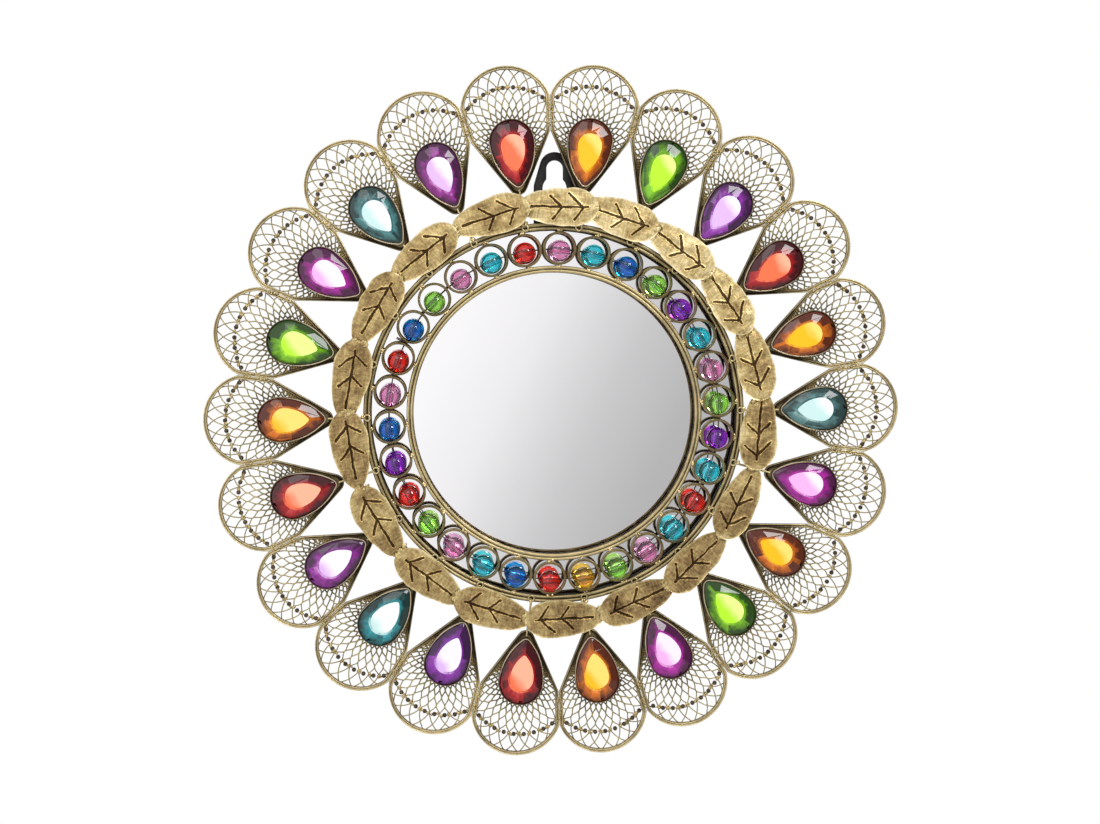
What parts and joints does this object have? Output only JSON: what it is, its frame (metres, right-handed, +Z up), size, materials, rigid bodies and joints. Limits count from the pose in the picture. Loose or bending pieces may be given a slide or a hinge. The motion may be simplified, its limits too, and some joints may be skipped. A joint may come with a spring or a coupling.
{
  "type": "round wall mirror",
  "caption": "Round wall mirror in a flower-shaped metal frame: a band of ringed coloured beads, a garland of leaves and pierced petals that each hold a pear-shaped stone.",
  "frame": {"origin": "middle of the tray's flat back, where the mirror lies against the wall", "axes": "+Y from the front to the wall, +Z up, +X to the right of someone looking at the mirror"},
  "size_m": [0.3866, 0.0205, 0.3838],
  "materials": {
    "blackened_steel": "satin black, slightly worn",
    "foam": "matt foam sheet",
    "mirror": "polished, silvered",
    "band_brass": "antique, rubbed on the edges",
    "leaf_brass": "antique, brushed and chiselled",
    "rim_brass": "antique, light on the edges",
    "aged_brass": "darkly patinated",
    "dark_brass": "blackened",
    "solder": "rough, granular",
    "iron_wire": "dark annealed wire",
    "stone_red": "clear cut stone",
    "stone_amber": "clear cut stone",
    "stone_green": "clear cut stone",
    "stone_purple": "clear cut stone",
    "stone_magenta": "clear cut stone",
    "stone_teal": "clear cut stone",
    "bead_red": "clear moulded bead",
    "bead_pink": "clear moulded bead",
    "bead_teal": "clear moulded bead",
    "bead_blue": "clear moulded bead",
    "bead_green": "clear moulded bead",
    "bead_purple": "clear moulded bead",
    "bead_amber": "clear moulded bead"
  },
  "bodies": {
    "mirror": {"mirror_tray": "blackened_steel", "backing_pad": "foam", "mirror_pane": "mirror", "outer_hoop": "band_brass", "inner_hoop": "band_brass", "bead_rings": "band_brass", "band_solder": "solder", "bead_wire": "iron_wire", "garland_hoop": "aged_brass", "garland_leaves": "leaf_brass", "petal_stems": "band_brass", "petal_rims": "rim_brass", "petal_nets": "aged_brass", "petal_studs": "dark_brass", "petal_solder": "solder", "stone_cups": "aged_brass", "stones_red": "stone_red", "stones_amber": "stone_amber", "stones_green": "stone_green", "stones_purple": "stone_purple", "stones_magenta": "stone_magenta", "stones_teal": "stone_teal", "hanger_plate": "blackened_steel"},
    "bead_01": {"bead_01": "bead_pink"},
    "bead_02": {"bead_02": "bead_teal"},
    "bead_03": {"bead_03": "bead_blue"},
    "bead_04": {"bead_04": "bead_green"},
    "bead_05": {"bead_05": "bead_purple"},
    "bead_06": {"bead_06": "bead_teal"},
    "bead_07": {"bead_07": "bead_pink"},
    "bead_08": {"bead_08": "bead_green"},
    "bead_09": {"bead_09": "bead_purple"},
    "bead_10": {"bead_10": "bead_teal"},
    "bead_11": {"bead_11": "bead_red"},
    "bead_12": {"bead_12": "bead_teal"},
    "bead_13": {"bead_13": "bead_pink"},
    "bead_14": {"bead_14": "bead_green"},
    "bead_15": {"bead_15": "bead_amber"},
    "bead_16": {"bead_16": "bead_red"},
    "bead_17": {"bead_17": "bead_blue"},
    "bead_18": {"bead_18": "bead_teal"},
    "bead_19": {"bead_19": "bead_pink"},
    "bead_20": {"bead_20": "bead_green"},
    "bead_21": {"bead_21": "bead_red"},
    "bead_22": {"bead_22": "bead_purple"},
    "bead_23": {"bead_23": "bead_blue"},
    "bead_24": {"bead_24": "bead_pink"},
    "bead_25": {"bead_25": "bead_red"},
    "bead_26": {"bead_26": "bead_blue"},
    "bead_27": {"bead_27": "bead_green"},
    "bead_28": {"bead_28": "bead_pink"},
    "bead_29": {"bead_29": "bead_teal"},
    "bead_30": {"bead_30": "bead_red"}
  },
  "joints": [
    {"name": "bead_01_spin", "type": "hinge", "parent": "mirror", "child": "bead_01", "pos_m": [0.00272, -0.0138, 0.0903], "axis": [0.9996, 0, -0.0297], "continuous": true},
    {"name": "bead_02_spin", "type": "hinge", "parent": "mirror", "child": "bead_02", "pos_m": [0.02175, -0.0138, 0.08773], "axis": [0.9715, 0, -0.2368], "continuous": true},
    {"name": "bead_03_spin", "type": "hinge", "parent": "mirror", "child": "bead_03", "pos_m": [0.03983, -0.0138, 0.08126], "axis": [0.9011, 0, -0.4337], "continuous": true},
    {"name": "bead_04_spin", "type": "hinge", "parent": "mirror", "child": "bead_04", "pos_m": [0.05616, -0.0138, 0.07117], "axis": [0.7912, 0, -0.6115], "continuous": true},
    {"name": "bead_05_spin", "type": "hinge", "parent": "mirror", "child": "bead_05", "pos_m": [0.07004, -0.0138, 0.0579], "axis": [0.6468, 0, -0.7627], "continuous": true},
    {"name": "bead_06_spin", "type": "hinge", "parent": "mirror", "child": "bead_06", "pos_m": [0.08086, -0.0138, 0.04204], "axis": [0.4741, 0, -0.8805], "continuous": true},
    {"name": "bead_07_spin", "type": "hinge", "parent": "mirror", "child": "bead_07", "pos_m": [0.08815, -0.0138, 0.02428], "axis": [0.2807, 0, -0.9598], "continuous": true},
    {"name": "bead_08_spin", "type": "hinge", "parent": "mirror", "child": "bead_08", "pos_m": [0.09158, -0.0138, 0.00539], "axis": [0.075, 0, -0.9972], "continuous": true},
    {"name": "bead_09_spin", "type": "hinge", "parent": "mirror", "child": "bead_09", "pos_m": [0.09101, -0.0138, -0.0138], "axis": [-0.134, 0, -0.991], "continuous": true},
    {"name": "bead_10_spin", "type": "hinge", "parent": "mirror", "child": "bead_10", "pos_m": [0.08647, -0.0138, -0.03246], "axis": [-0.3371, 0, -0.9415], "continuous": true},
    {"name": "bead_11_spin", "type": "hinge", "parent": "mirror", "child": "bead_11", "pos_m": [0.07814, -0.0138, -0.04976], "axis": [-0.5255, 0, -0.8508], "continuous": true},
    {"name": "bead_12_spin", "type": "hinge", "parent": "mirror", "child": "bead_12", "pos_m": [0.0664, -0.0138, -0.06495], "axis": [-0.6909, 0, -0.723], "continuous": true},
    {"name": "bead_13_spin", "type": "hinge", "parent": "mirror", "child": "bead_13", "pos_m": [0.05176, -0.0138, -0.07737], "axis": [-0.8261, 0, -0.5635], "continuous": true},
    {"name": "bead_14_spin", "type": "hinge", "parent": "mirror", "child": "bead_14", "pos_m": [0.03485, -0.0138, -0.08647], "axis": [-0.9252, 0, -0.3795], "continuous": true},
    {"name": "bead_15_spin", "type": "hinge", "parent": "mirror", "child": "bead_15", "pos_m": [0.01642, -0.0138, -0.09186], "axis": [-0.9839, 0, -0.1788], "continuous": true},
    {"name": "bead_16_spin", "type": "hinge", "parent": "mirror", "child": "bead_16", "pos_m": [-0.00272, -0.0138, -0.0933], "axis": [-0.9996, 0, 0.0297], "continuous": true},
    {"name": "bead_17_spin", "type": "hinge", "parent": "mirror", "child": "bead_17", "pos_m": [-0.02175, -0.0138, -0.09073], "axis": [-0.9715, 0, 0.2368], "continuous": true},
    {"name": "bead_18_spin", "type": "hinge", "parent": "mirror", "child": "bead_18", "pos_m": [-0.03983, -0.0138, -0.08426], "axis": [-0.9011, 0, 0.4337], "continuous": true},
    {"name": "bead_19_spin", "type": "hinge", "parent": "mirror", "child": "bead_19", "pos_m": [-0.05616, -0.0138, -0.07417], "axis": [-0.7912, 0, 0.6115], "continuous": true},
    {"name": "bead_20_spin", "type": "hinge", "parent": "mirror", "child": "bead_20", "pos_m": [-0.07004, -0.0138, -0.0609], "axis": [-0.6468, 0, 0.7627], "continuous": true},
    {"name": "bead_21_spin", "type": "hinge", "parent": "mirror", "child": "bead_21", "pos_m": [-0.08086, -0.0138, -0.04504], "axis": [-0.4741, 0, 0.8805], "continuous": true},
    {"name": "bead_22_spin", "type": "hinge", "parent": "mirror", "child": "bead_22", "pos_m": [-0.08815, -0.0138, -0.02728], "axis": [-0.2807, 0, 0.9598], "continuous": true},
    {"name": "bead_23_spin", "type": "hinge", "parent": "mirror", "child": "bead_23", "pos_m": [-0.09158, -0.0138, -0.00839], "axis": [-0.075, 0, 0.9972], "continuous": true},
    {"name": "bead_24_spin", "type": "hinge", "parent": "mirror", "child": "bead_24", "pos_m": [-0.09101, -0.0138, 0.01081], "axis": [0.134, 0, 0.991], "continuous": true},
    {"name": "bead_25_spin", "type": "hinge", "parent": "mirror", "child": "bead_25", "pos_m": [-0.08647, -0.0138, 0.02946], "axis": [0.3371, 0, 0.9415], "continuous": true},
    {"name": "bead_26_spin", "type": "hinge", "parent": "mirror", "child": "bead_26", "pos_m": [-0.07814, -0.0138, 0.04676], "axis": [0.5255, 0, 0.8508], "continuous": true},
    {"name": "bead_27_spin", "type": "hinge", "parent": "mirror", "child": "bead_27", "pos_m": [-0.0664, -0.0138, 0.06195], "axis": [0.6909, 0, 0.723], "continuous": true},
    {"name": "bead_28_spin", "type": "hinge", "parent": "mirror", "child": "bead_28", "pos_m": [-0.05176, -0.0138, 0.07437], "axis": [0.8261, 0, 0.5635], "continuous": true},
    {"name": "bead_29_spin", "type": "hinge", "parent": "mirror", "child": "bead_29", "pos_m": [-0.03485, -0.0138, 0.08347], "axis": [0.9252, 0, 0.3795], "continuous": true},
    {"name": "bead_30_spin", "type": "hinge", "parent": "mirror", "child": "bead_30", "pos_m": [-0.01642, -0.0138, 0.08886], "axis": [0.9839, 0, 0.1788], "continuous": true}
  ]
}
